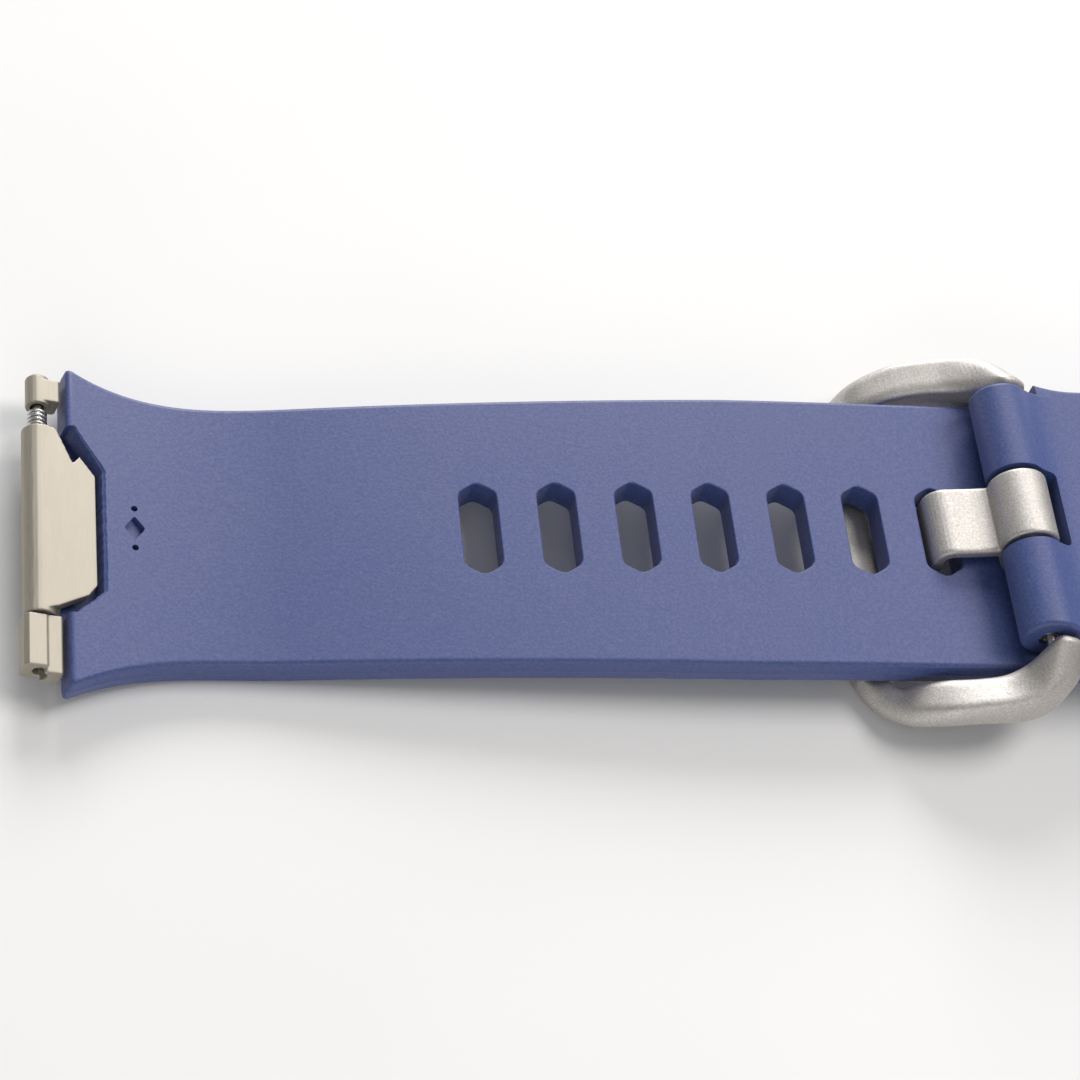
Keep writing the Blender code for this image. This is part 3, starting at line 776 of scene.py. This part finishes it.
# ---- CAD nodes that keep their shape ----------------------------------------------------------
def dress(name, look, voxel=0.0, rounds=0):
    """Give a CAD node its finish, and soften its edges."""
    node = nodes[name]
    node.data.materials.clear()
    node.data.materials.append(look)
    if voxel:
        soften(node, voxel, rounds, weld=True)
        return
    node.modifiers.new("weld", "WELD").merge_threshold = DRESS_WELD * MM
    ease = node.modifiers.new("ease", "BEVEL")
    ease.width = DRESS_EDGE * MM
    ease.segments = 2
    ease.limit_method = "ANGLE"
    ease.angle_limit = radians(40)
    node.data.shade_smooth()


def dress_nodes():
    for tag in ("a", "b"):
        dress(f"latch_lever_{tag}", SATIN, *LATCH_SKIN)
        dress(f"end_block_far_{tag}", SATIN, *FAR_BLOCK_SKIN)
        dress(f"end_block_near_{tag}", SATIN, *LATCH_SKIN)
        dress(f"insert_plate_{tag}", SATIN)
        dress(f"latch_axle_{tag}", STEEL)
        dress(f"latch_spring_{tag}", STEEL)
    for name in ("spring_bar_tube", "spring_bar_spring", "spring_bar_plunger_far",
                 "spring_bar_plunger_near"):
        dress(name, STEEL)


# ---- stage, light and camera ------------------------------------------------------------------
AIM = Vector((-0.03, 0.0, 0.0))
WHITE = (1.0, 1.0, 1.0)
WARM = (1.0, 0.97, 0.93)
FLOOR_HALF = 2.5
CAMERA_TURN = (54.9968, -23.1227, 20.6614)      # degrees down, round and rolled
CAMERA_PLACE = (-89.239, -107.592, 169.638)     # mm, in the CAD part's frame
CAMERA_LENS = 94.685
CAMERA_SENSOR = 36.0


def make_floor():
    mesh = bpy.data.meshes.new("floor")
    form = bmesh.new()
    bmesh.ops.create_grid(form, x_segments=2, y_segments=2, size=FLOOR_HALF)
    form.to_mesh(mesh)
    form.free()
    floor = bpy.data.objects.new("floor", mesh)
    bpy.context.scene.collection.objects.link(floor)
    look = Look("pale_floor", 0.9)
    tint = look.remap(look.noise(40.0, 2.0), 0.0, 1.0)
    look.link(look.mix(tint, (0.83, 0.83, 0.83, 1), (0.85, 0.85, 0.85, 1)), "Base Color")
    look.set("Specular IOR Level", 0.1)
    mesh.materials.append(look.material)


def area_light(name, place, size, power, colour):
    """A round soft light at a place in metres, turned to the band."""
    data = bpy.data.lights.new(name, "AREA")
    data.shape = "DISK"
    data.size = size
    data.energy = power
    data.color = colour
    light = bpy.data.objects.new(name, data)
    light.location = place
    light.rotation_euler = (AIM - Vector(place)).to_track_quat("-Z", "Y").to_euler()
    bpy.context.scene.collection.objects.link(light)


def make_studio():
    make_floor()
    world = bpy.data.worlds.new("studio")
    bpy.context.scene.world = world
    world.use_nodes = True
    sky = world.node_tree.nodes["Background"]
    sky.inputs["Color"].default_value = (*WHITE, 1)
    sky.inputs["Strength"].default_value = 0.31
    area_light("key", (0.28, 0.08, 0.48), 0.3, 1.7, WARM)
    area_light("back", (0.05, 0.60, 0.31), 0.38, 4.2, WHITE)
    area_light("fill", (-0.10, -0.45, 0.16), 0.4, 0.6, WHITE)
    bpy.context.scene.view_settings.view_transform = "Standard"


def make_camera():
    """Long lens, looking down at the wrist side, turned and rolled."""
    pitch, yaw, roll = (radians(turn) for turn in CAMERA_TURN)
    forward = Vector((0, cos(pitch), -sin(pitch)))
    right = Vector((1, 0, 0))
    up = right.cross(forward)
    turn = Matrix.Rotation(yaw, 3, "Z")
    forward, right, up = turn @ forward, turn @ right, turn @ up
    side = right * cos(roll) + up * sin(roll)
    rise = up * cos(roll) - right * sin(roll)
    data = bpy.data.cameras.new("camera")
    data.sensor_width = CAMERA_SENSOR
    data.lens = CAMERA_LENS
    data.clip_start = 0.01
    camera = bpy.data.objects.new("camera", data)
    place = Matrix((side, rise, -forward)).transposed().to_4x4()
    place.translation = Vector(CAMERA_PLACE) * MM
    camera.matrix_world = place
    bpy.context.scene.collection.objects.link(camera)
    bpy.context.scene.camera = camera


make_hole_strap()
make_buckle_strap()
make_keeper("fixed_keeper", "buckle_strap_side")
make_keeper("sliding_keeper", "sliding_keeper")
make_buckle_frame()
make_tang()
dress_nodes()
make_studio()
make_camera()
